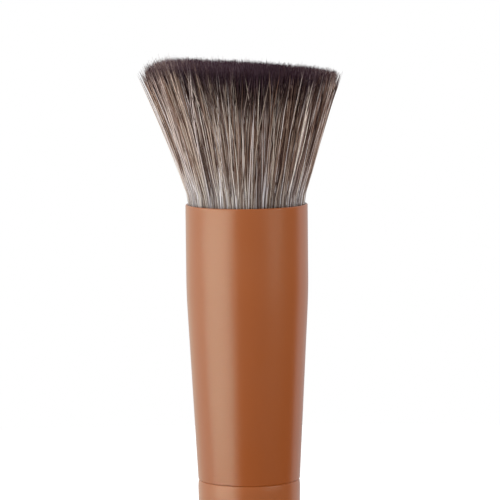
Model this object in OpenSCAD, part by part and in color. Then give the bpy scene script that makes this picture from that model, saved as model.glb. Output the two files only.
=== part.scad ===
// Foundation brush with a slanted, flared head, a tapered ferrule and a waisted handle.
// It stands on its base at z = 0, with the bristles up. X runs to the right, Y to the back.

/* [Handle] */
// Height of the handle, from the base to the seam under the ferrule
handle_h = 70; // [62:1:90]
// How far the handle stands proud of the ferrule at the seam
handle_step = 0.05; // [0.03:0.01:0.4]
// Diameter of the handle at its waist
waist_d = 14.2; // [13.4:0.1:16]
// Diameter of the handle at its heel, just above the base
heel_d = 17; // [16.2:0.1:20]
// Diameter of the flat base
base_d = 14.6; // [14:0.1:16]
// Height of the soft edge where the handle meets the seam
lip_h = 1.4; // [0.8:0.1:3]

/* [Ferrule] */
// Height of the ferrule, from the seam to its rim
ferrule_h = 50; // [46:0.5:60]
// Outer diameter of the ferrule at its mouth
mouth_d = 22; // [21:0.1:24]
// Outer diameter of the ferrule at its foot
foot_d = 18.4; // [17.4:0.1:19]
// Height of the straight barrel under the rim
barrel_h = 13; // [13:0.5:18]
// Wall of the ferrule
ferrule_wall = 0.5; // [0.4:0.05:0.7]
// Depth of the groove at the seam, from the face of the ferrule
seam_groove = 0.2; // [0.05:0.05:0.3]

/* [Bristles] */
// Height of the bristle head over the rim, on the axis
head_h = 25.6; // [20:0.1:32]
// Reach of the outermost tips to the left
reach_left = 19.3; // [14:0.1:21]
// Reach of the outermost tips to the right
reach_right = 17.5; // [14:0.1:21]
// Reach of the outermost tips to the front and to the back
reach_depth = 17.2; // [14:0.1:20]
// Slant of the cut, falling to the right
cut_slant = 3.4; // [0:0.1:12]
// How much lower the fanned tips are at the far left
left_drop = 2.2; // [0:0.1:4]
// How much the edge of the cut is rounded over, all round
cut_round = 0.5; // [0:0.1:2]
// How much the bristles differ in length
length_spread = 0.5; // [0:0.1:1.5]
// Rings of bristle locks round the one in the middle
bristle_rings = 11; // [10:1:11]
// Depth of the packed roots under the free bristles
root_h = 9.5; // [8:0.1:11]
// How far the packed roots stop under the rim
root_drop = 0.6; // [0.4:0.1:0.9]

/* [Bristle cup] */
// Height of the cup that holds the roots
cup_h = 12; // [11.8:0.1:13]
// Wall and floor of the cup
cup_wall = 0.4; // [0.3:0.05:0.6]
// How far the lip of the cup stops under the rim
cup_drop = 1; // [0.9:0.1:1.5]
// Diameter of the hole in the cup's floor that the resin is poured through
pour_hole_d = 6; // [3:0.5:8]

/* [Binding thread] */
// Diameter of the thread that ties the roots
thread_d = 0.6; // [0.4:0.05:0.9]
// Turns of the thread
thread_turns = 6; // [3:1:7]
// Depth of its first turn under the top of the roots
thread_drop = 2.4; // [1.5:0.1:3]

/* [Connector] */
// Diameter of the socket in the top of the handle
socket_d = 14; // [13:0.1:14.6]
// Depth of that socket
socket_h = 12; // [10:0.5:16]
// How far the connector fills the ferrule above the seam
spigot_h = 18; // [12:0.5:20]
// Diameter of the connector's stem, which holds up the cup
stem_d = 12; // [10:0.5:14]
// Diameter of the bore through the connector
core_d = 6.4; // [3:0.2:7.6]
// Width of the glue band round each end of the connector
glue_w = 5; // [3:0.5:8]
// Depth of the groove that holds each glue band
glue_depth = 0.4; // [0.2:0.05:0.6]
// Distance of each glue band from the seam
glue_setback = 3; // [2:0.5:4]

/* [Weight and cap] */
// Diameter of the bore up the handle
bore_d = 10.6; // [9.6:0.1:11]
// Height of the balance weight
weight_h = 22; // [14:0.5:30]
// Chamfer on both ends of the weight
weight_chamfer = 0.6; // [0.2:0.1:1.2]
// Diameter of the cap that closes the base
cap_d = 12.4; // [11.8:0.1:13]
// Thickness of the cap's disc
cap_t = 1.2; // [0.8:0.1:2]
// Height of the cap's plug in the bore
cap_plug_h = 2.5; // [1.5:0.1:5]

/* [Fits] */
// Gap round each piece that is pressed or glued into another
fit_gap = 0.04; // [0.02:0.01:0.1]

/* [Hidden] */
$fn = 96;

// Every cut runs this far past the face that it opens
overrun = 0.2;

// Steps in a long curve, and in a small rounded edge
curve_steps = 12;
edge_steps = 6;

// Handle: where its waist and heel lie, as shares of its height
waist_share = 0.48;
heel_share = 0.13;
waist_z = waist_share * handle_h;
heel_z = heel_share * handle_h;
top_r = foot_d / 2 + handle_step;
seam_r = foot_d / 2 - seam_groove;

// Ferrule: its ends, and the share of the taper that eases in from the straight barrel
seam_z = handle_h;
rim_z = seam_z + ferrule_h;
taper_h = ferrule_h - barrel_h;
blend_share = 0.16;
barrel_z = rim_z - barrel_h;
barrel_bore_r = mouth_d / 2 - ferrule_wall;

// Glue bands, above and below the seam
upper_glue_z = seam_z + glue_setback;
lower_glue_z = seam_z - glue_setback - glue_w;

// Cup and roots, from the rim down
cup_r = barrel_bore_r - fit_gap;
cup_bore_r = cup_r - cup_wall;
cup_floor_z = rim_z - cup_drop - cup_h;
root_r = cup_bore_r - fit_gap;
root_top_z = rim_z - root_drop;
root_bottom_z = root_top_z - root_h;

// Bristle locks stand in rings. The outer, middle and core bristles are groups of those rings
ring_pitch = root_r / (bristle_rings + 0.5);
last_ring_r = bristle_rings * ring_pitch;
last_core_ring = 3;
last_middle_ring = 7;
ring_twist = 47;
lock_sides = 3;
// Each lock's radius at its root, at its middle and at its tip, as shares of the ring pitch
lock_width_shares = [0.44, 0.6, 0.5];
// The height of those three sections, as shares of the lock's height
lock_height_shares = [0, 0.46, 1];
// The share of the flare that grows evenly with height. The rest grows faster towards the tips
even_flare_share = 0.74;
// How sharply the tips fall away at the left and at the edge
drop_power = 5;
round_power = 6;
length_seed = 7;

// Binding thread: its turns sink into each other a little
thread_pitch_share = 0.92;
thread_pitch = thread_pitch_share * thread_d;
thread_band = thread_turns * thread_pitch;

// Half of a cosine, which eases from 0 to 1
function ease(u) = (1 - cos(180 * u)) / 2;

// Radius of the handle at height z, above the heel
function handle_r(z) =
    z > waist_z
        ? waist_d / 2 + (top_r - waist_d / 2) * ease((z - waist_z) / (handle_h - waist_z))
        : heel_d / 2 + (waist_d - heel_d) / 2 * ease((z - heel_z) / (waist_z - heel_z));

// A parabola that runs on as a line, from 0 to 1
function ramp(u) = (u < blend_share ? u * u / (2 * blend_share) : u - blend_share / 2)
    / (1 - blend_share / 2);

// Outer and inner radius of the ferrule at height z
function ferrule_r(z) =
    mouth_d / 2 - (mouth_d - foot_d) / 2 * ramp(max(0, (barrel_z - z) / taper_h));
function ferrule_bore_r(z) = ferrule_r(z) - ferrule_wall;

// Points of a quarter ellipse about [r, z]. It starts at [r + a, z] and ends at [r, z + b]
function quarter(r, z, a, b, count) =
    [for (i = [0 : count]) [r + a * cos(90 * i / count), z + b * sin(90 * i / count)]];

// Heights from low to high, in even steps
function steps(low, high, count) = [for (i = [0 : count]) low + (high - low) * i / count];

// Heights at which the ferrule's outline needs a point, from low to high
function ferrule_heights(low, high) = concat(
    [low],
    [for (z = steps(barrel_z - blend_share * taper_h, barrel_z, curve_steps)) if (z > low && z < high) z],
    [high]
);

// The same list, last point first
function reversed(points) = [for (i = [len(points) - 1 : -1 : 0]) points[i]];

// A tube or a disc on the axis, between two heights
module ring(inner, outer, low, high) {
    translate([0, 0, low])
        difference() {
            cylinder(r = outer, h = high - low);
            if (inner > 0)
                translate([0, 0, -overrun])
                    cylinder(r = inner, h = high - low + 2 * overrun);
        }
}

// The turned handle, with a socket for the connector above and a bore for the weight below
module handle() {
    outline = concat(
        reversed(quarter(base_d / 2, heel_z, (heel_d - base_d) / 2, -heel_z, curve_steps)),
        [for (z = steps(heel_z, waist_z, curve_steps)) if (z > heel_z) [handle_r(z), z]],
        [for (z = steps(waist_z, handle_h - lip_h, curve_steps)) if (z > waist_z && z < handle_h - lip_h)
            [handle_r(z), z]],
        quarter(seam_r, handle_h - lip_h, handle_r(handle_h - lip_h) - seam_r, lip_h, edge_steps)
    );
    color("#b4683e")
        difference() {
            rotate_extrude()
                polygon(concat([[0, 0]], outline, [[0, handle_h]]));
            translate([0, 0, -overrun])
                cylinder(d = bore_d, h = handle_h + 2 * overrun);
            translate([0, 0, -overrun])
                cylinder(d = cap_d + 2 * fit_gap, h = cap_t + overrun);
            translate([0, 0, handle_h - socket_h])
                cylinder(d = socket_d, h = socket_h + overrun);
        }
}

// The disc that closes the base, with its plug in the bore
module base_cap() {
    color("#a85f38")
        union() {
            cylinder(d = cap_d, h = cap_t);
            cylinder(d = bore_d - 2 * fit_gap, h = cap_t + cap_plug_h);
        }
}

// The steel slug that stands on the cap's plug and keeps the brush upright
module balance_weight() {
    slug_r = bore_d / 2 - 2 * fit_gap;
    low = cap_t + cap_plug_h;
    color("#8d9196")
        rotate_extrude()
            polygon([[0, low], [slug_r - weight_chamfer, low], [slug_r, low + weight_chamfer],
                     [slug_r, low + weight_h - weight_chamfer], [slug_r - weight_chamfer, low + weight_h],
                     [0, low + weight_h]]);
}

// A band on the axis that follows the ferrule's bore, between an inner and an outer offset from it
module bore_band(low, high, inner, outer) {
    heights = ferrule_heights(low, high);
    rotate_extrude()
        polygon(concat([for (z = heights) [ferrule_bore_r(z) + outer, z]],
                       reversed([for (z = heights) [ferrule_bore_r(z) + inner, z]])));
}

// The moulded piece that joins handle and ferrule, and holds up the cup
module connector() {
    body_heights = ferrule_heights(seam_z, seam_z + spigot_h);
    color("#3b3836")
        difference() {
            union() {
                translate([0, 0, handle_h - socket_h])
                    cylinder(r = socket_d / 2 - fit_gap, h = socket_h + overrun);
                rotate_extrude()
                    polygon(concat([[0, seam_z]],
                                   [for (z = body_heights) [ferrule_bore_r(z) - fit_gap, z]],
                                   [[0, seam_z + spigot_h]]));
                translate([0, 0, seam_z])
                    cylinder(d = stem_d, h = cup_floor_z - seam_z);
            }
            translate([0, 0, handle_h - socket_h - overrun])
                cylinder(d = core_d, h = rim_z);
            bore_band(upper_glue_z, upper_glue_z + glue_w, -fit_gap - glue_depth, overrun);
            ring(socket_d / 2 - fit_gap - glue_depth, socket_d / 2 + overrun,
                 lower_glue_z, lower_glue_z + glue_w);
        }
}

// The band of glue inside the ferrule, set hard in its groove
module ferrule_glue() {
    color("#d9cfae")
        bore_band(upper_glue_z, upper_glue_z + glue_w, -glue_depth, -fit_gap / 2);
}

// The band of glue inside the handle's socket
module handle_glue() {
    color("#d9cfae")
        ring(socket_d / 2 - glue_depth, socket_d / 2 - fit_gap / 2, lower_glue_z, lower_glue_z + glue_w);
}

// The lacquered metal sleeve: a straight barrel with a rounded rim, easing into a taper
module ferrule() {
    lip_r = ferrule_wall / 2;
    outer_heights = ferrule_heights(seam_z + seam_groove, rim_z - lip_r);
    inner_heights = ferrule_heights(seam_z, rim_z - lip_r);
    rim = [for (i = [1 : 2 * edge_steps - 1])
               [mouth_d / 2 - lip_r + lip_r * cos(90 * i / edge_steps),
                rim_z - lip_r + lip_r * sin(90 * i / edge_steps)]];
    color("#b4683e")
        rotate_extrude()
            polygon(concat([[seam_r, seam_z]],
                           [for (z = outer_heights) [ferrule_r(z), z]],
                           rim,
                           reversed([for (z = inner_heights) [ferrule_bore_r(z), z]])));
}

// The thin cup, open at the top, that the roots are set in
module bristle_cup() {
    color("#b9bcc0")
        difference() {
            translate([0, 0, cup_floor_z])
                cylinder(r = cup_r, h = cup_h);
            translate([0, 0, cup_floor_z + cup_wall])
                cylinder(r = cup_bore_r, h = cup_h);
            translate([0, 0, cup_floor_z - overrun])
                cylinder(d = pour_hole_d, h = cup_wall + 2 * overrun);
        }
}

// The resin under the roots, which also fills the pouring hole
module resin_plug() {
    color("#cdb98c")
        union() {
            translate([0, 0, cup_floor_z])
                cylinder(d = pour_hole_d - 2 * fit_gap, h = root_bottom_z - cup_floor_z);
            translate([0, 0, cup_floor_z + cup_wall])
                cylinder(r = root_r, h = root_bottom_z - cup_floor_z - cup_wall);
        }
}

// The thread that ties the roots: a band with a rounded rib for each turn
module binding_thread() {
    outer_r = root_r - fit_gap;
    low = root_top_z - thread_drop - thread_band;
    ribs = [for (i = [0 : thread_turns * edge_steps])
                let (turn = floor(i / edge_steps), a = 180 * (i % edge_steps) / edge_steps)
                [outer_r - thread_d / 2 * (1 - sin(a)), low + thread_pitch * (turn + (1 - cos(a)) / 2)]];
    color("#e8e2d2")
        rotate_extrude()
            polygon(concat([[outer_r - thread_d, low]], ribs, [[outer_r - thread_d, low + thread_band]]));
}

// How far the head has flared at height h over the rim, as a factor on the root's own place
function flare(reach, h) =
    let (u = max(0, h) / head_h)
    1 + (reach / last_ring_r - 1) * (even_flare_share * u + (1 - even_flare_share) * u * u);

// Where a lock that starts at root is, at height h over the rim
function lock_place(root, h) =
    [root[0] * flare(root[0] < 0 ? reach_left : reach_right, h), root[1] * flare(reach_depth, h), rim_z + h];

// Height of a lock's tip over the rim: the slanted cut, less what the fan and the edge take off
function tip_height(root, spread) =
    head_h
    - tan(cut_slant) * lock_place(root, head_h)[0]
    - left_drop * pow(max(0, -root[0] / last_ring_r), drop_power)
    - cut_round * pow(norm(root) / last_ring_r, round_power)
    - length_spread * spread;

// Locks in ring k, and where they start
function ring_count(k) = k == 0 ? 1 : round(2 * PI * k);
function ring_roots(k) =
    [for (i = [0 : ring_count(k) - 1])
        let (a = 360 * i / ring_count(k) + ring_twist * k)
        [k * ring_pitch * cos(a), k * ring_pitch * sin(a)]];

// The corners of one lock, section by section from the root up. It starts inside the packed roots
function lock_points(root, spread) =
    let (low = -root_drop - overrun, tip = tip_height(root, spread), turn = atan2(root[1], root[0]))
    [for (s = [0 : len(lock_height_shares) - 1])
        let (h = low + (tip - low) * lock_height_shares[s], middle = lock_place(root, h))
        for (j = [0 : lock_sides - 1])
            let (a = turn + 360 * (j + 0.5) / lock_sides, w = lock_width_shares[s] * ring_pitch)
            [middle[0] + w * cos(a), middle[1] + w * sin(a), middle[2]]];

// The triangles of one lock whose first corner is number first
function lock_faces(first) =
    let (top = first + lock_sides * (len(lock_height_shares) - 1))
    concat(
        [[for (j = [0 : lock_sides - 1]) first + j]],
        [for (s = [0 : len(lock_height_shares) - 2])
            for (j = [0 : lock_sides - 1])
                let (a = first + lock_sides * s + j,
                     b = first + lock_sides * s + (j + 1) % lock_sides)
                each [[a, a + lock_sides, b + lock_sides], [a, b + lock_sides, b]]],
        [[for (j = [lock_sides - 1 : -1 : 0]) top + j]]
    );

// The free locks of the rings from first to last
module locks(first, last) {
    roots = [for (k = [first : last]) each ring_roots(k)];
    spreads = rands(0, 1, len(roots), length_seed + first);
    corners = lock_sides * len(lock_height_shares);
    polyhedron(points = [for (i = [0 : len(roots) - 1]) each lock_points(roots[i], spreads[i])],
               faces = [for (i = [0 : len(roots) - 1]) each lock_faces(corners * i)]);
}

// Half a pitch outside ring k, where one group of roots ends and the next begins
function group_r(k) = (k + 0.5) * ring_pitch;

// The outer bristles, whose packed roots carry the thread in a groove
module outer_bristles() {
    color("#8a7668")
        union() {
            difference() {
                ring(group_r(last_middle_ring) + fit_gap, root_r, root_bottom_z, root_top_z);
                ring(root_r - thread_d - 2 * fit_gap, root_r + overrun,
                     root_top_z - thread_drop - thread_band - fit_gap, root_top_z - thread_drop + fit_gap);
            }
            locks(last_middle_ring + 1, bristle_rings);
        }
}

// The bristles between the outer ones and the core
module middle_bristles() {
    color("#6f5d53")
        union() {
            ring(group_r(last_core_ring) + fit_gap, group_r(last_middle_ring), root_bottom_z, root_top_z);
            locks(last_core_ring + 1, last_middle_ring);
        }
}

// The bristles in the middle of the head
module core_bristles() {
    color("#4a3b3c")
        union() {
            ring(0, group_r(last_core_ring), root_bottom_z, root_top_z);
            locks(0, last_core_ring);
        }
}

base_cap();
balance_weight();
handle();
handle_glue();
connector();
ferrule_glue();
ferrule();
bristle_cup();
resin_plug();
binding_thread();
outer_bristles();
middle_bristles();
core_bristles();
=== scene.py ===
# %% [markdown]
# This is a foundation brush: a dense head of nylon filaments, cut flat and a little
# aslant, in a lacquered ferrule on a turned handle. The hard parts come from the CAD
# model, and what Blender adds is their finish, and the hair.
# Everything is in metres, and the brush stands on the floor with its axis on Z.

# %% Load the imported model
import math

import bpy
import numpy as np
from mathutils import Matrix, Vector


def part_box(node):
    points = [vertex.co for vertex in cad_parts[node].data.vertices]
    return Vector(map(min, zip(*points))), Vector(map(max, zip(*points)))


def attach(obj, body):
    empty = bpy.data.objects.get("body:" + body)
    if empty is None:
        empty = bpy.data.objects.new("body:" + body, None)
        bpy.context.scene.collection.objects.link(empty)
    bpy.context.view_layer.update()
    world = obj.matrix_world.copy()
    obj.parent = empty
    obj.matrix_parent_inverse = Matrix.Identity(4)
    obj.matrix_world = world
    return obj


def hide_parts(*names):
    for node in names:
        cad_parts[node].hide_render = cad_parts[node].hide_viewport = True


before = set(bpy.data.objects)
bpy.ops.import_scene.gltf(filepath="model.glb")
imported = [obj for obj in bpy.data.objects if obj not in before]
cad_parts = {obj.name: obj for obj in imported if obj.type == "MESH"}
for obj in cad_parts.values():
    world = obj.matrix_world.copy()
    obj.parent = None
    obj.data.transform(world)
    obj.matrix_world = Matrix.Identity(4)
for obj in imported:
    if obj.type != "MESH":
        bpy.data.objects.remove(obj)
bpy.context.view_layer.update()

MM = 0.001
PHOTO_PIXELS = 500

ferrule_low, ferrule_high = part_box("ferrule")
seam_z = ferrule_low.z
rim_z = ferrule_high.z

# %% [markdown]
# The camera comes first, because everything else is judged through it. The photograph
# was taken from a little above, with a long lens, so the rim and the seam are shallow
# ellipses. Their two curvatures gave the distance and the height of the eye. The brush
# also leans by half a degree in the picture, which is a roll of the camera.

# %% Camera
EYE_DISTANCE = 0.572
EYE_OVER_RIM = 0.051
EYE_ASIDE = 0.00054
PITCH_DOWN = math.radians(5.926)
ROLL = math.radians(-0.55)
FOCAL_PIXELS = 3192.0
SENSOR_MM = 36.0
NEAREST_SEEN = 0.05
FARTHEST_SEEN = 20.0

camera_data = bpy.data.cameras.new("camera")
camera_data.sensor_width = SENSOR_MM
camera_data.lens = SENSOR_MM * FOCAL_PIXELS / PHOTO_PIXELS
camera_data.clip_start = NEAREST_SEEN
camera_data.clip_end = FARTHEST_SEEN
camera = bpy.data.objects.new("camera", camera_data)
bpy.context.scene.collection.objects.link(camera)
camera.location = (EYE_ASIDE, -EYE_DISTANCE, rim_z + EYE_OVER_RIM)
camera.rotation_euler = (math.pi / 2 - PITCH_DOWN, 0.0, 0.0)
camera.rotation_euler.rotate_axis("Z", ROLL)
bpy.context.scene.camera = camera
bpy.context.scene.view_settings.view_transform = "Standard"
print("lens", round(camera_data.lens, 2), "mm on a", SENSOR_MM, "mm sensor")

# %% [markdown]
# A node material is quicker to read when each node is made in one line. The first
# helper adds a node, sets its properties and the values of its sockets by name, and
# returns it. Links are then made one by one, so the path of a colour can be followed.

# %% Helpers for node materials
def add_node(tree, kind, values=None, **settings):
    """Add a node of a kind, with its settings and the values of its input sockets."""
    made = tree.nodes.new(kind)
    for name, value in settings.items():
        setattr(made, name, value)
    for name, value in (values or {}).items():
        made.inputs[name].default_value = value
    return made


def new_material(name, values):
    """Make a material whose shader has these values, and return it, its tree and its shader."""
    material = bpy.data.materials.new(name)
    material.use_nodes = True
    shader = material.node_tree.nodes["Principled BSDF"]
    for socket, value in values.items():
        shader.inputs[socket].default_value = value
    return material, material.node_tree, shader


def empty_material(name):
    """Make a material with no nodes, and return it and its tree."""
    material = bpy.data.materials.new(name)
    material.use_nodes = True
    material.node_tree.nodes.clear()
    return material, material.node_tree


def two_tones(tree, low, high):
    """Add a mix of two colours, for a factor to choose between."""
    mix = add_node(tree, "ShaderNodeMix", data_type="RGBA")
    mix.inputs["A"].default_value = (*low, 1)
    mix.inputs["B"].default_value = (*high, 1)
    return mix


def object_coordinates(tree, scale=(1.0, 1.0, 1.0)):
    """Give the piece's own coordinates, stretched by a scale, for a pattern to follow."""
    source = add_node(tree, "ShaderNodeTexCoord")
    mapping = add_node(tree, "ShaderNodeMapping", {"Scale": scale})
    tree.links.new(source.outputs["Object"], mapping.inputs["Vector"])
    return mapping.outputs["Vector"]


def dress(node, material):
    """Give a CAD node a finish, in the slots of its object."""
    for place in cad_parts[node].material_slots:
        place.material = material


# %% [markdown]
# The studio is plain: a white floor, a white surround, one broad lamp and a soft fill.
# The white behind the brush must not light it more, so the world is white only to rays
# from the camera, from reflections and through glass, and dim and neutral to the rest.
# The floor works the same way: it is a matt white that takes the shadow, with a little
# light of its own for those rays, so that it looks as white as the surround.

# %% World and floor
WHITE = (1, 1, 1, 1)
WORLD_FILL = 0.61
FLOOR_RADIUS = 0.5
FLOOR_SIDES = 96
FLOOR_WHITE = (0.7, 0.7, 0.7, 1)
FLOOR_GLOW = 0.65


def seen_directly(tree):
    """Give 1 to camera, glossy and transmission rays, and 0 to the others."""
    path = add_node(tree, "ShaderNodeLightPath")
    first = add_node(tree, "ShaderNodeMath", operation="MAXIMUM")
    second = add_node(tree, "ShaderNodeMath", operation="MAXIMUM")
    tree.links.new(path.outputs["Is Camera Ray"], first.inputs[0])
    tree.links.new(path.outputs["Is Glossy Ray"], first.inputs[1])
    tree.links.new(first.outputs[0], second.inputs[0])
    tree.links.new(path.outputs["Is Transmission Ray"], second.inputs[1])
    return second.outputs[0]


world = bpy.data.worlds.new("studio")
world.use_nodes = True
bpy.context.scene.world = world
tree = world.node_tree
tree.nodes.clear()
dim = add_node(tree, "ShaderNodeBackground", {"Color": WHITE, "Strength": WORLD_FILL})
white = add_node(tree, "ShaderNodeBackground", {"Color": WHITE, "Strength": 1.0})
choose = add_node(tree, "ShaderNodeMixShader")
output = add_node(tree, "ShaderNodeOutputWorld")
tree.links.new(seen_directly(tree), choose.inputs["Fac"])
tree.links.new(dim.outputs[0], choose.inputs[1])
tree.links.new(white.outputs[0], choose.inputs[2])
tree.links.new(choose.outputs[0], output.inputs["Surface"])

bpy.ops.object.select_all(action="DESELECT")
bpy.ops.mesh.primitive_circle_add(
    vertices=FLOOR_SIDES, radius=FLOOR_RADIUS, fill_type="NGON", location=(0, 0, 0))
floor = bpy.context.object
floor.name = "floor"
material, tree = empty_material("floor_white")
matt = add_node(tree, "ShaderNodeBsdfDiffuse", {"Color": FLOOR_WHITE})
glow = add_node(tree, "ShaderNodeEmission", {"Color": WHITE})
share = add_node(tree, "ShaderNodeMath", {1: FLOOR_GLOW}, operation="MULTIPLY")
both = add_node(tree, "ShaderNodeAddShader")
output = add_node(tree, "ShaderNodeOutputMaterial")
tree.links.new(seen_directly(tree), share.inputs[0])
tree.links.new(share.outputs[0], glow.inputs["Strength"])
tree.links.new(matt.outputs[0], both.inputs[0])
tree.links.new(glow.outputs[0], both.inputs[1])
tree.links.new(both.outputs[0], output.inputs["Surface"])
floor.data.materials.append(material)
print("floor", FLOOR_RADIUS, "m, glow", FLOOR_GLOW)

# %% [markdown]
# The satin lacquer shows where the light stands: a broad pale band on the left, with
# a soft edge a little left of the middle. That is the mirror image of a tall soft box
# whose near edge is about 30 degrees left of the camera. No one lamp gave both this
# picture in the lacquer and the right light on the colour. So the key is two lamps in
# about the same direction, one that shows only in reflections and one that never does,
# and so is the fill on the right. The two that show in reflections are tinted a little
# green, because plain white came out too pink in the lacquer.

# %% Lamps
AIM_UNDER_RIM = 20 * MM
GREENISH_WHITE = (0.85, 1.0, 0.80)
PLAIN_WHITE = (1.0, 1.0, 1.0)

aim = Vector((0.0, 0.0, rim_z - AIM_UNDER_RIM))


def soft_lamp(name, azimuth, elevation, distance, width, height, radiance, tint, reflected):
    """A soft box that faces the brush. Azimuth is in degrees to the right of the camera."""
    turn, rise = math.radians(azimuth), math.radians(elevation)
    outward = Vector((
        math.sin(turn) * math.cos(rise),
        -math.cos(turn) * math.cos(rise),
        math.sin(rise),
    ))
    data = bpy.data.lights.new(name, "AREA")
    data.shape = "RECTANGLE"
    data.size = width
    data.size_y = height
    data.energy = radiance * math.pi * width * height
    data.color = tint
    lamp = bpy.data.objects.new(name, data)
    bpy.context.scene.collection.objects.link(lamp)
    lamp.location = aim + outward * distance
    lamp.rotation_euler = (-outward).to_track_quat("-Z", "Y").to_euler()
    lamp.visible_camera = False
    lamp.visible_diffuse = not reflected
    lamp.visible_glossy = reflected
    if reflected:
        # It is sampled directly only, so a reflected ray goes on to the card behind it.
        data.cycles.use_multiple_importance_sampling = False


soft_lamp("key_glint", azimuth=-59, elevation=14, distance=0.16, width=0.175, height=0.31,
          radiance=1.52, tint=GREENISH_WHITE, reflected=True)
soft_lamp("side_glint", azimuth=54, elevation=5, distance=0.30, width=0.16, height=0.12,
          radiance=0.50, tint=GREENISH_WHITE, reflected=True)
soft_lamp("key_light", azimuth=-60, elevation=30, distance=0.80, width=0.60, height=0.60,
          radiance=3.6, tint=PLAIN_WHITE, reflected=False)
soft_lamp("fill_light", azimuth=55, elevation=25, distance=0.35, width=0.24, height=0.30,
          radiance=1.9, tint=PLAIN_WHITE, reflected=False)

# %% [markdown]
# White all round would put a pale veil on the lacquer. A photographer hangs cards where
# the lacquer would mirror the room, and so does this scene. A dark one curves round the
# front and the right. Three paler ones go on from it, round the back to the left, where
# the last stands behind the key lamp. Each also lies along the floor. They are seen only
# in reflections, and glow evenly. The last two are tinted like the lamps' reflections.

# %% Cards
CARD_RADIUS = 0.30
CARD_FOOT = 0.025
CARD_FLOOR_GAP = 0.001
CARD_HEIGHT = 0.9
CARD_STEPS = 24


def reflected_card(name, first, last, colour, level):
    """A card that curves round the brush between two directions. These are in degrees
    to the right of the camera."""
    turns = np.linspace(math.radians(first), math.radians(last), CARD_STEPS)
    outline = [(CARD_FOOT, CARD_FLOOR_GAP), (CARD_RADIUS, CARD_FLOOR_GAP), (CARD_RADIUS, CARD_HEIGHT)]
    points = [(r * math.sin(a), -r * math.cos(a), z) for a in turns for r, z in outline]
    rows = len(outline)
    faces = [(i * rows + j, (i + 1) * rows + j, (i + 1) * rows + j + 1, i * rows + j + 1)
             for i in range(CARD_STEPS - 1) for j in range(rows - 1)]
    mesh = bpy.data.meshes.new(name)
    mesh.from_pydata(points, [], faces)
    card = bpy.data.objects.new(name, mesh)
    bpy.context.scene.collection.objects.link(card)
    card.visible_camera = False
    card.visible_diffuse = False
    card.visible_transmission = False
    card.visible_shadow = False
    material, tree = empty_material(name)
    glow = add_node(tree, "ShaderNodeEmission", {"Color": (*colour, 1), "Strength": level})
    output = add_node(tree, "ShaderNodeOutputMaterial")
    tree.links.new(glow.outputs[0], output.inputs["Surface"])
    mesh.materials.append(material)


reflected_card("dark_card", first=-24, last=110, colour=(0.01, 0.01, 0.01), level=1.0)
reflected_card("grey_card", first=110, last=200, colour=(0.70, 0.70, 0.70), level=1.0)
reflected_card("pale_card", first=200, last=272, colour=(0.92, 1.0, 0.88), level=1.06)
reflected_card("cool_card", first=272, last=336, colour=(0.90, 1.0, 0.84), level=1.02)

# %% [markdown]
# The terracotta lacquer covers the ferrule, the handle and the base cap, so one recipe
# serves all three. It is a plain opaque colour under a satin surface. A sprayed satin
# coat is never quite even: its colour drifts by a few percent over centimetres, so does
# its gloss, and close up there is a very fine orange peel. All of it comes from noise
# on the piece's own coordinates, so nothing needs unwrapping. The ferrule's colour also
# gets a little deeper from near its rim down to its foot, as in the photograph. This is
# painted shade, standing in for the fainter reflection low on the ferrule.

# %% Satin lacquer
LACQUER_DEEP = (0.345, 0.086, 0.0152)
LACQUER_PALE = (0.377, 0.100, 0.0217)
# The foot colour is painted shade: it stands in for the fainter reflection low on the ferrule.
LACQUER_FOOT_SHADE = (0.333, 0.073, 0.0055, 1)
DEEPEST_OVER_SEAM = 2 * MM
EVEN_UNDER_RIM = 8 * MM
COLOUR_DRIFT_SCALE = 60.0
GLOSS_DRIFT_SCALE = 160.0
GLOSS_DRIFT = 0.012
PEEL_SCALE = 3200.0
PEEL_DEPTH = 0.02 * MM
NOISE_LOW = 0.3
NOISE_HIGH = 0.7


def painted_shade_to_the_foot(tree, place, coat):
    """Blend a coat into a deeper one towards the ferrule's foot, as painted shade for the fainter
    reflection there.
    """
    split = add_node(tree, "ShaderNodeSeparateXYZ")
    rise = add_node(tree, "ShaderNodeMapRange", {
        "From Min": seam_z + DEEPEST_OVER_SEAM, "From Max": rim_z - EVEN_UNDER_RIM,
    })
    shade = add_node(tree, "ShaderNodeMix", data_type="RGBA")
    shade.inputs["A"].default_value = LACQUER_FOOT_SHADE
    tree.links.new(place, split.inputs["Vector"])
    tree.links.new(split.outputs["Z"], rise.inputs["Value"])
    tree.links.new(rise.outputs["Result"], shade.inputs["Factor"])
    tree.links.new(coat, shade.inputs["B"])
    return shade.outputs["Result"]


def drifting_gloss(tree, noise, roughness, drift):
    """Let a roughness drift with a noise, by as much up as down."""
    spread = add_node(tree, "ShaderNodeMapRange", {
        "From Min": NOISE_LOW, "From Max": NOISE_HIGH,
        "To Min": roughness - drift, "To Max": roughness + drift,
    })
    tree.links.new(noise.outputs["Fac"], spread.inputs["Value"])
    return spread.outputs["Result"]


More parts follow.
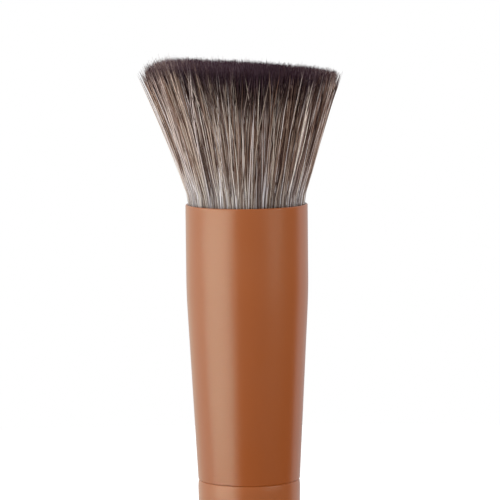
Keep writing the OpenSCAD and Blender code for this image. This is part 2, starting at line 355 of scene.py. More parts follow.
def satin_lacquer(name, roughness=0.30, peel=0.06, painted_shade_below=False):
    """Opaque terracotta with a satin surface, slightly uneven in colour and in gloss."""
    material, tree, shader = new_material(name, {"Specular IOR Level": 1.0})
    place = object_coordinates(tree)
    drift = add_node(tree, "ShaderNodeTexNoise", {"Scale": COLOUR_DRIFT_SCALE, "Detail": 3.0})
    gloss = add_node(tree, "ShaderNodeTexNoise", {"Scale": GLOSS_DRIFT_SCALE, "Detail": 1.0})
    grain = add_node(tree, "ShaderNodeTexNoise", {"Scale": PEEL_SCALE, "Detail": 2.0})
    tint = two_tones(tree, LACQUER_DEEP, LACQUER_PALE)
    bump = add_node(tree, "ShaderNodeBump", {"Strength": peel, "Distance": PEEL_DEPTH})
    for texture in (drift, gloss, grain):
        tree.links.new(place, texture.inputs["Vector"])
    tree.links.new(drift.outputs["Fac"], tint.inputs["Factor"])
    coat = tint.outputs["Result"]
    # Painted shade, deepening the coat towards the ferrule's foot.
    if painted_shade_below:
        coat = painted_shade_to_the_foot(tree, place, coat)
    tree.links.new(coat, shader.inputs["Base Color"])
    tree.links.new(drifting_gloss(tree, gloss, roughness, GLOSS_DRIFT), shader.inputs["Roughness"])
    tree.links.new(grain.outputs["Fac"], bump.inputs["Height"])
    tree.links.new(bump.outputs["Normal"], shader.inputs["Normal"])
    return material


# The ferrule's lacquer gets painted shade towards its foot.
dress("ferrule", satin_lacquer("ferrule_lacquer", painted_shade_below=True))
dress("handle", satin_lacquer("handle_lacquer"))
dress("base_cap", satin_lacquer("cap_lacquer", roughness=0.36, peel=0.12))
print("lacquered", ["ferrule", "handle", "base_cap"])

# %% [markdown]
# The pieces inside are never seen in the photograph, but each is a real thing with its
# own stuff. Most need the same few marks: a colour that drifts between two tones, a
# gloss that drifts with it, and a fine relief. Stretching the pattern turns it into the
# rings of a turned slug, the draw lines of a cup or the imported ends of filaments.

# %% Inner finishes
MARK_LOW = 0.35
MARK_HIGH = 0.65
MARK_GLOSS = 0.06
MARK_STRENGTH = 0.4
EVEN = (1.0, 1.0, 1.0)
RINGS = (0.02, 0.02, 1.0)
DRAW_LINES = (1.0, 1.0, 0.03)
RESIN_TONES = ((0.50, 0.37, 0.17), (0.68, 0.56, 0.34))
EPOXY_TONES = ((0.52, 0.44, 0.26), (0.72, 0.64, 0.44))
STEEL_TONES = ((0.46, 0.47, 0.49), (0.62, 0.63, 0.65))
PLASTIC_TONES = ((0.048, 0.044, 0.040), (0.075, 0.069, 0.063))
ALUMINIUM_TONES = ((0.66, 0.67, 0.69), (0.80, 0.81, 0.83))


def marked(name, tones, scale, stretch=EVEN, roughness=0.45, metallic=0.0, relief=0.05, level=0.5):
    """Two tones mixed by noise, with the gloss and a fine relief following the same marks."""
    material, tree, shader = new_material(name, {"Metallic": metallic, "Specular IOR Level": level})
    marks = add_node(tree, "ShaderNodeTexNoise", {"Scale": scale, "Detail": 5.0})
    tint = two_tones(tree, *tones)
    contrast = add_node(tree, "ShaderNodeMapRange", {"From Min": MARK_LOW, "From Max": MARK_HIGH})
    bump = add_node(tree, "ShaderNodeBump", {"Strength": MARK_STRENGTH, "Distance": relief * MM})
    tree.links.new(object_coordinates(tree, stretch), marks.inputs["Vector"])
    tree.links.new(marks.outputs["Fac"], contrast.inputs["Value"])
    tree.links.new(contrast.outputs["Result"], tint.inputs["Factor"])
    tree.links.new(tint.outputs["Result"], shader.inputs["Base Color"])
    tree.links.new(drifting_gloss(tree, marks, roughness, MARK_GLOSS), shader.inputs["Roughness"])
    tree.links.new(marks.outputs["Fac"], bump.inputs["Height"])
    tree.links.new(bump.outputs["Normal"], shader.inputs["Normal"])
    return material


epoxy = marked("set_epoxy", EPOXY_TONES, scale=500.0, roughness=0.3)
dress("handle_glue", epoxy)
dress("ferrule_glue", epoxy)
dress("balance_weight", marked("turned_steel", STEEL_TONES, scale=2600.0, stretch=RINGS,
                               roughness=0.34, metallic=1.0, relief=0.02))
dress("connector", marked("moulded_plastic", PLASTIC_TONES, scale=900.0,
                          roughness=0.5, relief=0.03, level=0.4))
dress("bristle_cup", marked("drawn_aluminium", ALUMINIUM_TONES, scale=1800.0, stretch=DRAW_LINES,
                            roughness=0.36, metallic=1.0, relief=0.01))
dress("resin_plug", marked("poured_resin", RESIN_TONES, scale=700.0, roughness=0.18))
print("inner finishes:", sorted(m.name for m in bpy.data.materials if m.users))

# %% [markdown]
# The binding thread is twisted from plies, so slanting ridges run along every turn. A
# sine of the angle round the brush, shifted with the height, gives them. The crown of
# each ply stands a little proud and is paler, and the grooves between are darker: that
# colour is painted shade, following the relief.

# %% Waxed thread
# The deep tone is painted shade in the grooves between plies, and the pale one is the crown.
THREAD_GROOVE_SHADE = (0.58, 0.54, 0.46)
THREAD_PALE = (0.84, 0.81, 0.74)
PLY_RELIEF = 0.06 * MM
PLY_STRENGTH = 0.6


def twisted_thread(name, turns_per_metre, plies_around):
    """Waxed thread: slanting plies along every turn, paler on the crown of each ply, with painted
    shade in the grooves between them.
    """
    material, tree, shader = new_material(name, {"Roughness": 0.7, "Specular IOR Level": 0.3})
    split = add_node(tree, "ShaderNodeSeparateXYZ")
    tree.links.new(object_coordinates(tree), split.inputs["Vector"])
    around = add_node(tree, "ShaderNodeMath", operation="ARCTAN2")
    tree.links.new(split.outputs["Y"], around.inputs[0])
    tree.links.new(split.outputs["X"], around.inputs[1])
    along = add_node(tree, "ShaderNodeMath", {1: turns_per_metre * math.tau}, operation="MULTIPLY")
    tree.links.new(split.outputs["Z"], along.inputs[0])
    slant = add_node(tree, "ShaderNodeMath", {1: plies_around}, operation="MULTIPLY_ADD")
    tree.links.new(around.outputs[0], slant.inputs[0])
    tree.links.new(along.outputs[0], slant.inputs[2])
    plies = add_node(tree, "ShaderNodeMath", operation="SINE")
    tree.links.new(slant.outputs[0], plies.inputs[0])
    crown = add_node(tree, "ShaderNodeMapRange", {"From Min": -1.0, "From Max": 1.0})
    tree.links.new(plies.outputs[0], crown.inputs["Value"])
    # Paler on the crowns and darker in the grooves: painted shade that follows the ply relief.
    tint = two_tones(tree, THREAD_GROOVE_SHADE, THREAD_PALE)
    tree.links.new(crown.outputs["Result"], tint.inputs["Factor"])
    tree.links.new(tint.outputs["Result"], shader.inputs["Base Color"])
    bump = add_node(tree, "ShaderNodeBump", {"Strength": PLY_STRENGTH, "Distance": PLY_RELIEF})
    tree.links.new(crown.outputs["Result"], bump.inputs["Height"])
    tree.links.new(bump.outputs["Normal"], shader.inputs["Normal"])
    return material


thread_finish = twisted_thread("waxed_thread", turns_per_metre=1800.0, plies_around=120.0)
dress("binding_thread", thread_finish)
print("thread:", len(thread_finish.node_tree.nodes), "nodes")

# %% [markdown]
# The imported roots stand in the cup: filaments pressed so close that they are one block,
# with a groove round it where the thread ties them. They are in three parts, one inside
# the other, as the rings of filaments above them are. Each is turned: a circle is
# extruded and resized from one point of the outline to the next. The rings come back to
# their first point, and the core has flat ends.

# %% Packed roots
CORE_R = 3.05
MIDDLE_R = 6.53
ROOT_R = 10.02
ROOT_GAP = 0.04
ROOT_TOP_DROP = 0.6
TIED_IN = 0.68
TURNED_SIDES = 96
MERGE_WITHIN = 0.001 * MM
PACKED_TONES = ((0.24, 0.19, 0.155), (0.62, 0.545, 0.48))


def turned(name, outline, solid):
    """Turn an outline of (radius, height) points, in mm, round the axis."""
    first_r, first_z = outline[0]
    bpy.ops.object.select_all(action="DESELECT")
    bpy.ops.mesh.primitive_circle_add(
        vertices=TURNED_SIDES, radius=first_r * MM, fill_type="NGON" if solid else "NOTHING",
        location=(0, 0, first_z * MM))
    piece = bpy.context.object
    piece.name = name
    bpy.ops.object.mode_set(mode="EDIT")
    bpy.ops.mesh.select_all(action="SELECT")
    following = outline[1:] if solid else outline[1:] + outline[:1]
    for (near_r, low_z), (far_r, high_z) in zip(outline, following):
        step = (0, 0, (high_z - low_z) * MM)
        bpy.ops.mesh.extrude_region_move(TRANSFORM_OT_translate={"value": step})
        bpy.ops.transform.resize(value=(far_r / near_r, far_r / near_r, 1.0))
    bpy.ops.mesh.select_all(action="SELECT")
    bpy.ops.mesh.remove_doubles(threshold=MERGE_WITHIN)
    bpy.ops.mesh.normals_make_consistent(inside=False)
    bpy.ops.object.mode_set(mode="OBJECT")
    bpy.ops.object.transform_apply(location=True, rotation=True, scale=True)
    return piece


def stand_for(piece, node):
    """Let a piece ride on the brush in place of a CAD node, and hide that node."""
    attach(piece, "root")
    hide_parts(node)


thread_low, thread_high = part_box("binding_thread")
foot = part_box("resin_plug")[1].z / MM
root_top = rim_z / MM - ROOT_TOP_DROP
tie_low = thread_low.z / MM - ROOT_GAP
tie_high = thread_high.z / MM + ROOT_GAP
outer_bore = MIDDLE_R + ROOT_GAP
middle_bore = CORE_R + ROOT_GAP
tied_r = ROOT_R - TIED_IN
root_outlines = {
    "outer_roots": ("outer_bristles", [
        (outer_bore, foot), (ROOT_R, foot), (ROOT_R, tie_low), (tied_r, tie_low),
        (tied_r, tie_high), (ROOT_R, tie_high), (ROOT_R, root_top), (outer_bore, root_top)]),
    "middle_roots": ("middle_bristles", [
        (middle_bore, foot), (MIDDLE_R, foot), (MIDDLE_R, root_top), (middle_bore, root_top)]),
    "core_roots": ("core_bristles", [(CORE_R, foot), (CORE_R, root_top)]),
}
packed = marked("packed_filament", PACKED_TONES, scale=3500.0, stretch=DRAW_LINES, roughness=0.5)
for name, (node, outline) in root_outlines.items():
    piece = turned(name, outline, solid=(node == "core_bristles"))
    piece.data.materials.append(packed)
    stand_for(piece, node)
    print(name, len(piece.data.polygons), "faces")

# %% [markdown]
# The head is 25,000 filaments. Blender's hair system makes strands that are only drawn,
# and the part needs real meshes, so each filament is a thin closed prism of three sides.
# One is modelled as a pattern, straight and a unit long: a triangle, extruded
# ring by ring, with the last rings drawn in to a finer tip. The copies are then bent
# along their own lines.

# %% The pattern filament
RING_SHARES = (0.0, 0.15, 0.30, 0.45, 0.60, 0.74, 0.88, 1.0)
RING_WIDTHS = (1.0, 1.0, 1.0, 1.0, 1.0, 0.93, 0.72, 0.16)
SIDES = 3

bpy.ops.object.select_all(action="DESELECT")
bpy.ops.mesh.primitive_circle_add(vertices=SIDES, radius=1.0, fill_type="NGON", location=(0, 0, 0))
pattern = bpy.context.object
bpy.ops.object.mode_set(mode="EDIT")
bpy.ops.mesh.select_all(action="SELECT")
for lower, upper, below, above in zip(RING_SHARES, RING_SHARES[1:], RING_WIDTHS, RING_WIDTHS[1:]):
    bpy.ops.mesh.extrude_region_move(TRANSFORM_OT_translate={"value": (0, 0, upper - lower)})
    bpy.ops.transform.resize(value=(above / below, above / below, 1.0))
bpy.ops.mesh.select_all(action="SELECT")
bpy.ops.mesh.normals_make_consistent(inside=False)
bpy.ops.object.mode_set(mode="OBJECT")

pattern_points = np.array([v.co for v in pattern.data.vertices])
pattern_faces = [list(face.vertices) for face in pattern.data.polygons]
ring_gaps = np.abs(pattern_points[:, 2][:, None] - np.array(RING_SHARES)[None, :])
pattern_rings = ring_gaps.argmin(axis=1)
bpy.data.objects.remove(pattern)
print("pattern:", len(pattern_points), "points,", len(pattern_faces), "faces")

# %% [markdown]
# Each face of the pattern also gets a place on a colour card, which is a UV map. The
# card has a column for each dye lot, and its height is the filament from root to tip.
# Every filament lies in one column, so its colour changes along its length but never
# across. The end faces would have no height there, so they get a little.

# %% The pattern's place on the colour card
END_HEIGHT = 0.01
SAME_CORNER = 0.1


def card_places():
    """Give each corner of each face its share across a column, and its share of the length."""
    places = []
    angles = np.arctan2(pattern_points[:, 1], pattern_points[:, 0])
    for face in pattern_faces:
        if len(face) == SIDES:
            share = RING_SHARES[pattern_rings[face[0]]]
            inward = END_HEIGHT if share == 0.0 else -END_HEIGHT
            places += [(0.0, share), (1.0, share), (0.5, share + inward)]
            continue
        first = min(face, key=lambda p: (pattern_points[p, 2], angles[p]))
        for point in face:
            same = abs(math.remainder(angles[point] - angles[first], math.tau)) < SAME_CORNER
            places.append((0.0 if same else 1.0, RING_SHARES[pattern_rings[point]]))
    return np.array(places)


pattern_card = card_places()
print("card corners:", len(pattern_card))

# %% [markdown]
# Now the head's form. Filaments rise from a packed disc and spread out: more to the
# left than to the right, and least to front and back. They follow the same kind of
# curve as the strands of the CAD model, so the hair fills about the same space. The cut
# falls a little to the right, and drops off at its edges. The higher the power of a
# drop, the nearer the edge it sets in.

# %% The form of the head
HAIR_R = 10.4
HEAD_H = 25.1
REACH_LEFT = 18.4
REACH_RIGHT = 17.05
REACH_DEPTH = 16.6
EVEN_LEFT = 0.84
EVEN_RIGHT = 1.0
EVEN_DEPTH = 0.85
CUT_SLANT = math.radians(3.95)
LEFT_DROP = 2.4
LEFT_DROP_POWER = 8
RIGHT_DROP = 0.1
RIGHT_DROP_POWER = 10
CUT_ROUND = 0.3
CUT_ROUND_POWER = 6
ROOT_DEPTH = 2.0


def spread(reach, even, height):
    """How far out a filament has gone at a height, as a multiple of its place at the rim."""
    share = np.clip(height / HEAD_H, 0.0, None)
    return 1 + (reach / HAIR_R - 1) * (even * share + (1 - even) * share ** 2)


def placed(root, height):
    """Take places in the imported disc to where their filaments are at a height, in mm."""
    left = root[..., 0] < 0
    reach = np.where(left, REACH_LEFT, REACH_RIGHT)
    even = np.where(left, EVEN_LEFT, EVEN_RIGHT)
    return np.stack([
        root[..., 0] * spread(reach, even, height),
        root[..., 1] * spread(REACH_DEPTH, EVEN_DEPTH, height),
    ], axis=-1)


def share_outward(root):
    """Give how far out each root is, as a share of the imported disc's radius."""
    return np.hypot(root[:, 0], root[:, 1]) / HAIR_R


def share_left(root):
    """Give 1 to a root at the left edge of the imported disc, and 0 from the middle on."""
    return np.clip(-root[:, 0] / HAIR_R, 0, 1)


def share_right(root):
    """Give 1 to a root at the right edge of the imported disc, and 0 from the middle on."""
    return np.clip(root[:, 0] / HAIR_R, 0, 1)


def cut_height(root):
    """The height of the cut over the rim for a filament with this root, in mm."""
    top = placed(root, np.full(len(root), HEAD_H))
    return (HEAD_H - math.tan(CUT_SLANT) * top[:, 0]
            - LEFT_DROP * share_left(root) ** LEFT_DROP_POWER
            - RIGHT_DROP * share_right(root) ** RIGHT_DROP_POWER
            - CUT_ROUND * np.clip(share_outward(root), 0, 1) ** CUT_ROUND_POWER)


corner = cut_height(np.array([[-HAIR_R, 0.0], [0.0, 0.0], [HAIR_R, 0.0]]))
print("cut height left, middle, right:", corner.round(2), "mm")

# %% [markdown]
# Hair isn't combed evenly. Filaments cling to their neighbours in fine locks, and the
# fine locks lean on each other in broad ones, which leaves dark gaps between them. So
# every filament is drawn part of the way to the middle of its fine lock and of its
# broad lock, and each lock leans its own way. A few filaments are wild, and cross the
# others. The places come from a sunflower pattern, which packs a disc evenly.

# %% Roots and locks
FILAMENTS = 25000
FINE_LOCKS = 4200
BROAD_LOCKS = 420
ROOT_SCATTER = 0.35
LOCK_SCATTER = 0.3
WILD_SHARE = 0.07
SEED = 7
AT_ONCE = 2000

rng = np.random.default_rng(SEED)


def sunflower(count, radius, scatter):
    """Spread places evenly over a disc, each a little off its mark."""
    index = np.arange(count) + 0.5
    angle = index * math.pi * (3 - math.sqrt(5))
    reach = radius * np.sqrt(index / count)
    step = radius / math.sqrt(count)
    marks = np.stack([reach * np.cos(angle), reach * np.sin(angle)], axis=1)
    return marks + rng.normal(0, scatter * step, (count, 2))


def nearest(places, centres):
    """Give the index of the nearest centre to each place."""
    found = np.empty(len(places), int)
    for start in range(0, len(places), AT_ONCE):
        some = places[start:start + AT_ONCE]
        gaps = ((some[:, None, :] - centres[None, :, :]) ** 2).sum(axis=2)
        found[start:start + AT_ONCE] = gaps.argmin(axis=1)
    return found


roots = sunflower(FILAMENTS, HAIR_R, ROOT_SCATTER)
roots *= np.minimum(1.0, HAIR_R / np.hypot(roots[:, 0], roots[:, 1]))[:, None]
broad_centres = sunflower(BROAD_LOCKS, HAIR_R, LOCK_SCATTER)
fine_centres = sunflower(FINE_LOCKS, HAIR_R, LOCK_SCATTER)
broad = nearest(roots, broad_centres)
fine = nearest(roots, fine_centres)
wild = rng.random(FILAMENTS) < WILD_SHARE
print("filaments:", FILAMENTS, "wild:", int(wild.sum()))

# %% [markdown]
# Next come the ways in which a filament differs from its neighbours: how it leans, bows
# and waves, and how closely it clings to its locks. Near the edge of the head, and most
# of all at its two sides, a few fly away and stand off from the others.

# %% How each filament differs
BROAD_LEAN = 0.50
FINE_LEAN = 0.55
OWN_LEAN = 0.60
WILD_LEAN = 1.0
BOW = 0.36
WAVE = 0.10
FEWEST_WAVES = 0.5
MOST_WAVES = 1.3
LEAST_CLING = 0.1
MOST_CLING = 1.0
FLYAWAY_SHARE = 0.018
FLYAWAY_EDGE = 0.90
FLYAWAY_ALL_ROUND = 0.5
FLYAWAY_AT_SIDES = 1.4
FLYAWAY_SIDE_POWER = 4
FLYAWAY_LEAST = 0.15
FLYAWAY_MOST = 1.0

lean = (rng.normal(0, BROAD_LEAN, (BROAD_LOCKS, 2))[broad]
        + rng.normal(0, FINE_LEAN, (FINE_LOCKS, 2))[fine]
        + rng.normal(0, OWN_LEAN, (FILAMENTS, 2)))
lean[wild] += rng.normal(0, WILD_LEAN, (int(wild.sum()), 2))
bow = rng.normal(0, BOW, (FILAMENTS, 2))
wave = rng.normal(0, WAVE, (FILAMENTS, 2))
wave_start = rng.uniform(0, math.tau, FILAMENTS)
wave_count = rng.uniform(FEWEST_WAVES, MOST_WAVES, FILAMENTS)
cling = rng.uniform(LEAST_CLING, MOST_CLING, FILAMENTS)
sideways = roots[:, 0] / HAIR_R
flyaway_chance = FLYAWAY_SHARE / (1 - FLYAWAY_EDGE ** 2) * (
    FLYAWAY_ALL_ROUND + FLYAWAY_AT_SIDES * sideways ** FLYAWAY_SIDE_POWER)
at_edge = np.hypot(roots[:, 0], roots[:, 1]) > FLYAWAY_EDGE * HAIR_R
flyaway = at_edge & (rng.random(FILAMENTS) < flyaway_chance)
outward_push = np.where(flyaway, rng.uniform(FLYAWAY_LEAST, FLYAWAY_MOST, FILAMENTS), 0)
print("fly away:", int(flyaway.sum()))

# %% [markdown]
# With these known, the line of each filament is a row of eight points, one for each
# ring of the pattern. Their heights run from inside the ferrule to the cut, where each
# tip is a little longer or shorter than its neighbours, and most uneven on the left.

# %% The lines of the filaments
TO_FINE = 0.30
TO_FINE_MIDWAY = 0.30
TO_BROAD = 0.12
TO_BROAD_MIDWAY = 0.20
TO_BROAD_EARLY = 0.8
WAVE_ONSET = 4
FLYAWAY_CURL = 1.2
LOOSE_EDGE = 0.93
PRESSED_EDGE = 1.015
TIP_SHORT = 0.30
TIP_SCATTER = 0.30
SHORTEST_TIP = -0.9
LONGEST_TIP = 0.7
UNEVEN_LEFT = 1.5
UNEVEN_LEFT_POWER = 6
LONG_SHARE = 0.03
LONG_BY = 0.45


def kept_in(places):
    """Hold places inside the head, pressing the outermost ones together softly."""
    reach = np.hypot(places[:, 0], places[:, 1])
    loose = LOOSE_EDGE * HAIR_R
    room = PRESSED_EDGE * HAIR_R - loose
    pressed = loose + room * (1 - np.exp(-np.clip(reach - loose, 0, None) / room))
    return places * (np.where(reach > loose, pressed, reach) / reach)[:, None]


def gathered(risen):
    """Where filaments that have risen by a share of the head are, as places in the disc."""
    to_fine = cling * (TO_FINE + TO_FINE_MIDWAY * np.sin(math.pi * risen))
    to_broad = cling * (TO_BROAD + TO_BROAD_MIDWAY * np.sin(math.pi * risen ** TO_BROAD_EARLY))
    at = roots + (fine_centres[fine] - roots) * to_fine[:, None]
    at += (broad_centres[broad] - at) * to_broad[:, None]
    at += lean * risen[:, None] + bow * np.sin(math.pi * risen)[:, None]
    swing = np.sin(math.tau * wave_count * risen + wave_start) * np.minimum(1, WAVE_ONSET * risen)
    at += wave * swing[:, None]
    at = kept_in(at)
    away = at / np.hypot(at[:, 0], at[:, 1])[:, None]
    return at + away * (outward_push * risen ** FLYAWAY_CURL)[:, None]


def filament_lines():
    """Give the points along each filament, in mm, with Z from the rim."""
    tip = cut_height(gathered(np.ones(FILAMENTS))) - TIP_SHORT
    uneven = 1 + UNEVEN_LEFT * share_left(roots) ** UNEVEN_LEFT_POWER
    tip += np.clip(rng.normal(0, TIP_SCATTER, FILAMENTS), SHORTEST_TIP, LONGEST_TIP) * uneven
    tip += LONG_BY * (rng.random(FILAMENTS) < LONG_SHARE)
    lines = np.empty((FILAMENTS, len(RING_SHARES), 3))
    for ring, share in enumerate(RING_SHARES):
        height = -ROOT_DEPTH + share * (tip + ROOT_DEPTH)
        lines[:, ring, :2] = placed(gathered(np.clip(height / HEAD_H, 0, 1)), height)
        lines[:, ring, 2] = height
    return lines


lines = filament_lines()
print("hair reach in mm:", lines.min(axis=(0, 1)).round(2), lines.max(axis=(0, 1)).round(2))

# %% [markdown]
# The colour card has eight tones, from dark brown to cream, and a filament takes one.
# Most of that is chance, shared a little with its locks. Some of it follows the
# photograph: the head is painted paler on the left and darker on the right, and has
# two wide patches, paler left of the middle and darker right of it, all as painted
# light and shade from the key lamp on the left. It also has a dozen narrow swathes
# that are paler or darker than the rest. Each patch and swathe is listed as a place
# across the head, from -1 on the left to 1 on the right, a width and a shift.
# A faint ripple also runs round the whole head.

# %% Tones
TONES = 8
MIDDLE_TONE = 0.45
BROAD_TONE = 0.06
BROAD_TONE_MORE_LEFT = 1.2
FINE_TONE = 0.08
FINE_TONE_LESS_RIGHT = 0.4
OWN_TONE = 0.31
OWN_TONE_MORE_RIGHT = 0.1
WILD_PALER = 0.14
# Painted light on the left and painted shade towards the right, from the key lamp's side.
LEFT_PAINTED_LIGHT = 0.15
PAINTED_SHADE_RIGHTWARD = 0.09
RIPPLE = 0.05
RIPPLES = [(12, 4.2), (20, 5.0)]
# The two wide patches are painted light left of the middle and painted shade right of it.
LIGHT_AND_SHADE_PATCHES = [(-0.22, 0.22, 0.09), (0.38, 0.20, -0.15)]
SWATHES = [(-0.88, 0.04, -0.10), (-0.61, 0.06, 0.10), (-0.51, 0.04, -0.17), (-0.40, 0.04, 0.08),
           (-0.22, 0.04, -0.18), (-0.07, 0.06, 0.11), (0.03, 0.03, 0.20), (0.14, 0.04, -0.14),
           (0.29, 0.04, 0.06), (0.46, 0.07, -0.16), (0.67, 0.04, 0.14), (0.78, 0.03, -0.10)]


def band(place, width):
    """Give 1 at a place across the head, and less with the distance from it."""
    return np.exp(-((sideways - place) / width) ** 2)


leftward = share_left(roots)
rightward = share_right(roots)
bearing = np.arctan2(roots[:, 1], roots[:, 0])
ripple = sum(np.sin(count * bearing + start) for count, start in RIPPLES)
# Patches of painted light and shade, summed with the swathes of tone.
swathes_and_painted_light = sum(shift * band(place, width) for place, width, shift in LIGHT_AND_SHADE_PATCHES + SWATHES)
tone = (MIDDLE_TONE
        + rng.normal(0, BROAD_TONE, BROAD_LOCKS)[broad] * (1 + BROAD_TONE_MORE_LEFT * leftward)
        + rng.normal(0, FINE_TONE, FINE_LOCKS)[fine] * (1 - FINE_TONE_LESS_RIGHT * rightward)
        + rng.normal(0, OWN_TONE, FILAMENTS) * (1 + OWN_TONE_MORE_RIGHT * sideways)
        + RIPPLE * ripple
        + WILD_PALER * wild
        # Painted light on the left and painted shade towards the right.
        + LEFT_PAINTED_LIGHT * leftward ** 2
        - PAINTED_SHADE_RIGHTWARD * sideways
        + swathes_and_painted_light)
tone_step = np.clip((tone * TONES).astype(int), 0, TONES - 1)
print("filaments in each tone:", np.bincount(tone_step, minlength=TONES))

# %% [markdown]
# Each tone comes in a warm and a cool hue, and each of those in four variants, which
# differ in how far down the dark dye of the tips has run. The two sides of the head
# have the least dye, and it reaches deepest left of the middle.

# %% Hues and the border of the dye
HUES = 2
VARIANTS = 4
CARD_COLUMNS = TONES * HUES * VARIANTS
BROAD_HUE = 0.5
FINE_HUE = 0.5
OWN_HUE = 0.6
BORDER = 0.35
LEFT_BORDER = 0.55
LEFT_BORDER_POWER = 1.5
CORNER_BORDER = 0.20
CORNER_BORDER_POWER = 6
RIGHT_BORDER = 0.60
RIGHT_BORDER_POWER = 3
DEEPEST_DYE = (-0.20, 0.28)
DEEPER_BORDER = 0.16
BROAD_BORDER = 0.08
OWN_BORDER = 0.24

cool = (rng.normal(0, BROAD_HUE, BROAD_LOCKS)[broad]
        + rng.normal(0, FINE_HUE, FINE_LOCKS)[fine]
        + rng.normal(0, OWN_HUE, FILAMENTS)) > 0
dye_border = (BORDER
              + LEFT_BORDER * leftward ** LEFT_BORDER_POWER
              + CORNER_BORDER * leftward ** CORNER_BORDER_POWER
              + RIGHT_BORDER * rightward ** RIGHT_BORDER_POWER
              - DEEPER_BORDER * band(*DEEPEST_DYE)
              + rng.normal(0, BROAD_BORDER, BROAD_LOCKS)[broad]
              + rng.normal(0, OWN_BORDER, FILAMENTS))
variant = np.clip(dye_border * VARIANTS, 0, VARIANTS - 1).astype(int)
column = (tone_step * HUES + cool) * VARIANTS + variant
print("filaments in each variant:", np.bincount(variant, minlength=VARIANTS))

# %% [markdown]
# The pattern is now bent along the lines. Across each line, two directions square to
# it carry the three corners of the section, turned at random from one filament to the
# next so that they don't all catch the light together.

# %% Making a piece of hair
FILAMENT_D = 0.15
THINNEST = 0.7
THICKEST = 1.2
COLUMN_MARGIN = 0.15


def hair_piece(name, chosen, material):
    """Make one mesh of the chosen filaments, with its colour card as a UV map."""
    points = lines[chosen] * MM
    points[..., 2] += rim_z
    along = np.gradient(points, axis=1)
    along /= np.linalg.norm(along, axis=2)[..., None]
    turn = rng.uniform(0, math.tau, len(points))
    start = np.stack([np.cos(turn), np.sin(turn), np.zeros(len(points))], axis=1)[:, None, :]
    across = start - (start * along).sum(axis=2)[..., None] * along
    across /= np.linalg.norm(across, axis=2)[..., None]
    beside = np.cross(along, across)
    radius = FILAMENT_D / 2 * MM * rng.uniform(THINNEST, THICKEST, len(points))
    flat = pattern_points[:, :2]
    bent = (points[:, pattern_rings]
            + radius[:, None, None] * (flat[None, :, :1] * across[:, pattern_rings]
                                       + flat[None, :, 1:] * beside[:, pattern_rings]))
    count = len(pattern_points)
    faces = [[p + first for p in face]
             for first in range(0, len(points) * count, count) for face in pattern_faces]
    mesh = bpy.data.meshes.new(name)
    mesh.from_pydata(bent.reshape(-1, 3).tolist(), [], faces)
    mesh.polygons.foreach_set("use_smooth", np.ones(len(faces), bool))
    card = mesh.uv_layers.new(name="OFBake")
    share = COLUMN_MARGIN + (1 - 2 * COLUMN_MARGIN) * pattern_card[:, 0]
    across_card = (column[chosen][:, None] + share[None, :]) / CARD_COLUMNS
    up_card = np.broadcast_to(pattern_card[:, 1], across_card.shape)
    card.data.foreach_set("uv", np.stack([across_card, up_card], axis=2).ravel().astype(np.float32))
    mesh.materials.append(material)
    mesh.update()
    piece = bpy.data.objects.new(name, mesh)
    bpy.context.scene.collection.objects.link(piece)
    return piece


# %% [markdown]
# The filament's finish reads the colour card. The place across the card, times the
# number of tones, has the tone as its whole part. What is left over, times the number
# of hues, has the hue, and what is left of that gives the variant in the same way. Each
# is turned into a share from 0 to 1.

# %% Reading the colour card
DARK_STOP = 0.35
PALE_STOP = 0.65


def math_step(tree, operation, source, value=0.0, added=0.0):
    """Do one sum on a value from another node."""
    step = add_node(tree, "ShaderNodeMath", {1: value, 2: added}, operation=operation)
    tree.links.new(source, step.inputs[0])
    return step.outputs[0]


def read_card(tree):
    """Give the share of the filament's length, and the shares of its tone, hue and variant."""
    card = add_node(tree, "ShaderNodeUVMap", uv_map="OFBake")
    split = add_node(tree, "ShaderNodeSeparateXYZ")
    tree.links.new(card.outputs["UV"], split.inputs["Vector"])
    across = split.outputs["X"]
    shares = []
    for steps in (TONES, HUES, VARIANTS):
        across = math_step(tree, "MULTIPLY", math_step(tree, "FRACT", across), steps)
        shares.append(math_step(tree, "DIVIDE", math_step(tree, "FLOOR", across), steps - 1))
    return split.outputs["Y"], *shares


def colour_by_tone(tree, tone_share, tones):
    """Choose a colour by the filament's tone, from four that go from the darkest to the palest."""
    darkest, dark, pale, palest = [(*colour, 1) for colour in tones]
    ramp = add_node(tree, "ShaderNodeValToRGB")
    ramp.color_ramp.elements[0].color = darkest
    ramp.color_ramp.elements[1].color = palest
    ramp.color_ramp.elements.new(DARK_STOP).color = dark
    ramp.color_ramp.elements.new(PALE_STOP).color = pale
    tree.links.new(tone_share, ramp.inputs["Fac"])
    return ramp.outputs["Color"]


def blend(tree, share, low, high):
    """Blend two colours by a share."""
    mix = add_node(tree, "ShaderNodeMix", data_type="RGBA")
    tree.links.new(share, mix.inputs["Factor"])
    tree.links.new(low, mix.inputs["A"])
    tree.links.new(high, mix.inputs["B"])
    return mix.outputs["Result"]


def past_border(tree, along, variant_share, least, spread, softness, most=1.0):
    """Rise from 0 past a border that lies further up the filament from variant to variant."""
    start = math_step(tree, "MULTIPLY_ADD", variant_share, spread, least)
    end = math_step(tree, "ADD", start, softness)
    rise = add_node(tree, "ShaderNodeMapRange", {"To Max": most}, interpolation_type="SMOOTHSTEP")
    tree.links.new(along, rise.inputs["Value"])
    tree.links.new(start, rise.inputs["From Min"])
    tree.links.new(end, rise.inputs["From Max"])
    return rise.outputs["Result"]


print("card columns:", CARD_COLUMNS)

# %% [markdown]
# Near the ferrule the nylon is a pale greyish beige, and further up a warmer taupe. The
# upper part is dyed a brown that is nearly black, and only the tips are purple. The
# border of the dye lies higher on some filaments than on others. Those with the least
# dye are also browner, more so towards the tip.

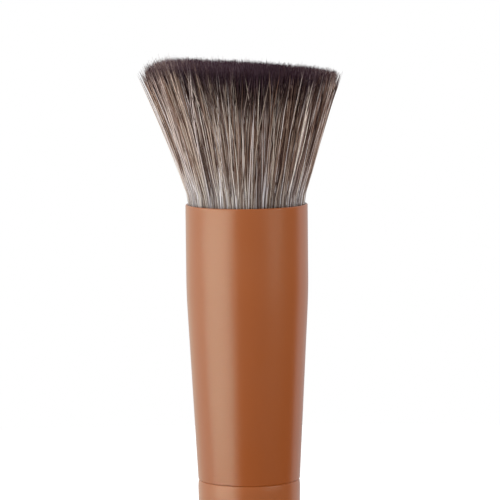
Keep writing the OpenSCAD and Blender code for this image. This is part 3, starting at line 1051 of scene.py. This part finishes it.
# %% Filament material
RIM_TONES = ((0.12, 0.085, 0.07), (0.29, 0.23, 0.20), (0.54, 0.485, 0.45), (0.90, 0.88, 0.85))
BODY_TONES = ((0.10, 0.055, 0.042), (0.265, 0.167, 0.126), (0.49, 0.385, 0.322), (0.88, 0.80, 0.73))
DYE_TONES = ((0.019, 0.009, 0.009), (0.033, 0.016, 0.016), (0.064, 0.036, 0.034), (0.14, 0.092, 0.082))
TIP_TONES = ((0.025, 0.010, 0.018), (0.034, 0.014, 0.025), (0.050, 0.024, 0.037), (0.11, 0.07, 0.09))
WARM = (1.02, 0.985, 0.94)
COOL = (0.98, 0.985, 1.05)
BROWN_CAST = (1.07, 0.955, 0.905, 1)
BROWN_FROM_VARIANT = 0.6
BEIGE_TO = 0.06
TAUPE_FROM = 0.4
DYE_LEAST = 0.55
DYE_SPREAD = 0.335
DYE_SOFTNESS = 0.28
TIP_LEAST = 0.83
TIP_SPREAD = 0.08
TIP_SOFTNESS = 0.12
TIP_STRENGTH = 0.9


def brown_cast(tree, along, variant_share, colour):
    """Make the filaments with the least dye browner towards their tips."""
    least_dyed = add_node(tree, "ShaderNodeMapRange", {"From Min": BROWN_FROM_VARIANT})
    browner = add_node(tree, "ShaderNodeMath", operation="MULTIPLY")
    cast = add_node(tree, "ShaderNodeMix", data_type="RGBA", blend_type="MULTIPLY")
    cast.inputs["B"].default_value = BROWN_CAST
    tree.links.new(variant_share, least_dyed.inputs["Value"])
    tree.links.new(least_dyed.outputs["Result"], browner.inputs[0])
    tree.links.new(along, browner.inputs[1])
    tree.links.new(browner.outputs[0], cast.inputs["Factor"])
    tree.links.new(colour, cast.inputs["A"])
    return cast.outputs["Result"]


def filament_material(name):
    """Nylon, dyed from root to tip, with the tone and the border of the dye by column."""
    material, tree, shader = new_material(name, {"Roughness": 0.35, "Specular IOR Level": 0.04})
    along, tone_share, hue_share, variant_share = read_card(tree)
    over_rim = add_node(tree, "ShaderNodeMapRange", {
        "From Min": BEIGE_TO, "From Max": TAUPE_FROM,
    }, interpolation_type="SMOOTHSTEP")
    tree.links.new(along, over_rim.inputs["Value"])
    dyed = past_border(tree, along, variant_share, DYE_LEAST, DYE_SPREAD, DYE_SOFTNESS)
    at_tip = past_border(tree, along, variant_share, TIP_LEAST, TIP_SPREAD, TIP_SOFTNESS, TIP_STRENGTH)
    rim, body, dye, tip = [colour_by_tone(tree, tone_share, tones)
                           for tones in (RIM_TONES, BODY_TONES, DYE_TONES, TIP_TONES)]
    colour = blend(tree, over_rim.outputs["Result"], rim, body)
    colour = blend(tree, dyed, colour, dye)
    colour = blend(tree, at_tip, colour, tip)
    colour = brown_cast(tree, along, variant_share, colour)
    hue = two_tones(tree, WARM, COOL)
    tree.links.new(hue_share, hue.inputs["Factor"])
    tinted = add_node(tree, "ShaderNodeMix", {"Factor": 1.0}, data_type="RGBA", blend_type="MULTIPLY")
    tree.links.new(colour, tinted.inputs["A"])
    tree.links.new(hue.outputs["Result"], tinted.inputs["B"])
    tree.links.new(tinted.outputs["Result"], shader.inputs["Base Color"])
    return material


filament_dye = filament_material("two_tone_filament")
print("filament:", len(filament_dye.node_tree.nodes), "nodes")

# %% [markdown]
# The hair is made in seven pieces, so that none is too heavy: the outer filaments by
# side, the middle ones by front and back, and the core. They stand for the bristle
# nodes of the CAD model, whose few hundred thick strands are only for its own use.

# %% Hair pieces
from_axis = np.hypot(roots[:, 0], roots[:, 1])
is_core = from_axis < CORE_R
is_middle = (from_axis >= CORE_R) & (from_axis < MIDDLE_R)
is_outer = from_axis >= MIDDLE_R
frontward = -roots[:, 1]
sideward = roots[:, 0]
sections = {
    "outer_hair_front": ("outer_bristles", is_outer & (frontward > np.abs(sideward))),
    "outer_hair_back": ("outer_bristles", is_outer & (-frontward > np.abs(sideward))),
    "outer_hair_right": ("outer_bristles", is_outer & (sideward >= np.abs(frontward))),
    "outer_hair_left": ("outer_bristles", is_outer & (-sideward >= np.abs(frontward))),
    "middle_hair_front": ("middle_bristles", is_middle & (frontward > 0)),
    "middle_hair_back": ("middle_bristles", is_middle & (frontward <= 0)),
    "core_hair": ("core_bristles", is_core),
}
for name, (node, chosen) in sections.items():
    piece = hair_piece(name, np.flatnonzero(chosen), filament_dye)
    stand_for(piece, node)
    print(name, int(chosen.sum()), "filaments")
